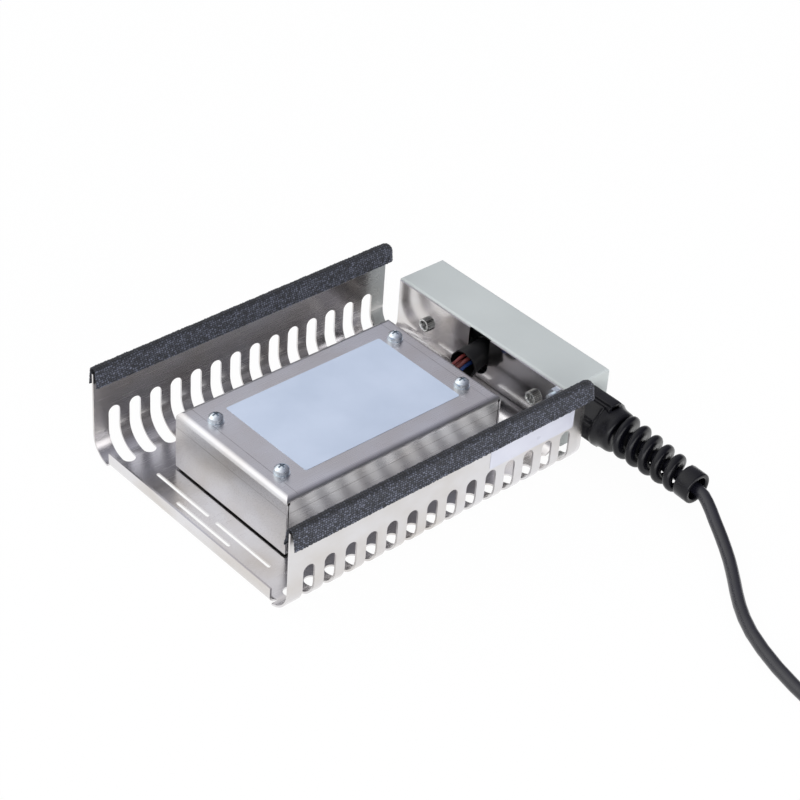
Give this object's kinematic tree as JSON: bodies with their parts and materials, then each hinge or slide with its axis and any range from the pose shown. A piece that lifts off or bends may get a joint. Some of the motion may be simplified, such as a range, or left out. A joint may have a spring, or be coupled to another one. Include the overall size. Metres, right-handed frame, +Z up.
{
  "type": "pcb preheater",
  "caption": "Flat PCB preheater lying on its hot face: slotted folded sheet tray, screwed heater cover, braided edge trims, grey connection box, spiral strain relief and black cord with plug.",
  "frame": {"origin": "centre of the body's bounding box without the cord, at the plane of the hot face it lies on", "axes": "+X along the tray towards the connection box, +Y away from the side the cord leaves, +Z up, away from the hot face, as pictured"},
  "size_m": [0.226, 0.4121, 0.0491],
  "materials": {
    "stainless_sheet": "mill finish stainless sheet",
    "braid": "woven dark braid",
    "zinc_plated": "bright zinc plated",
    "label_foil": "bare silver foil",
    "sticker_film": "bare white film",
    "aluminium_plate": "milled",
    "mica": "matte mica sheet",
    "fibre_board": "soft ceramic fibre board",
    "brass_plated": "turned brass",
    "red_silicone": "satin",
    "brown_silicone": "satin",
    "blue_silicone": "satin",
    "black_fibre": "varnished glass fibre sleeve",
    "box_paint": "pale grey powder coat",
    "white_plastic": "matte",
    "black_rubber": "satin black rubber",
    "black_plastic": "matte",
    "grey_plastic": "matte",
    "plug_metal": "satin black metal",
    "ring_metal": "knurled nickel",
    "pin_gold": "gold plated"
  },
  "bodies": {
    "preheater": {"tray": "stainless_sheet", "edge_trim_near": "braid", "edge_trim_far": "braid", "heater_cover": "stainless_sheet", "cover_screws": "zinc_plated", "cover_spring_washers": "zinc_plated", "cover_washers": "zinc_plated", "rating_label": "label_foil", "side_sticker": "sticker_film", "heating_plate": "aluminium_plate", "heater_element": "mica", "pressure_plate": "stainless_sheet", "clamp_screws": "zinc_plated", "insulation_pad": "fibre_board", "cover_standoffs": "brass_plated", "temperature_sensor": "stainless_sheet", "lead_bush": "black_rubber", "red_leads": "red_silicone", "brown_lead": "brown_silicone", "blue_lead": "blue_silicone", "wire_sleeve": "black_fibre", "connection_box": "box_paint", "panel_screws": "zinc_plated", "panel_nuts": "zinc_plated", "ground_stud": "zinc_plated", "ground_lock_nut": "zinc_plated", "ground_nut": "zinc_plated", "terminal_block": "white_plastic", "terminal_screws": "zinc_plated", "cable_cores": "grey_plastic", "cord_clamp": "grey_plastic", "strain_relief": "black_rubber", "cable": "black_rubber", "cable_coil": "black_rubber", "coil_tie": "grey_plastic", "cable_tail": "black_rubber", "plug_boot": "black_rubber", "plug_shell": "plug_metal", "plug_insert": "black_plastic", "plug_pins": "pin_gold"},
    "locking_ring": {"plug_ring": "ring_metal"}
  },
  "joints": [
    {"name": "ring_turn", "type": "hinge", "parent": "preheater", "child": "locking_ring", "pos_m": [0.1112, -0.22, 0.01], "axis": [0, 1, 0], "continuous": true}
  ]
}
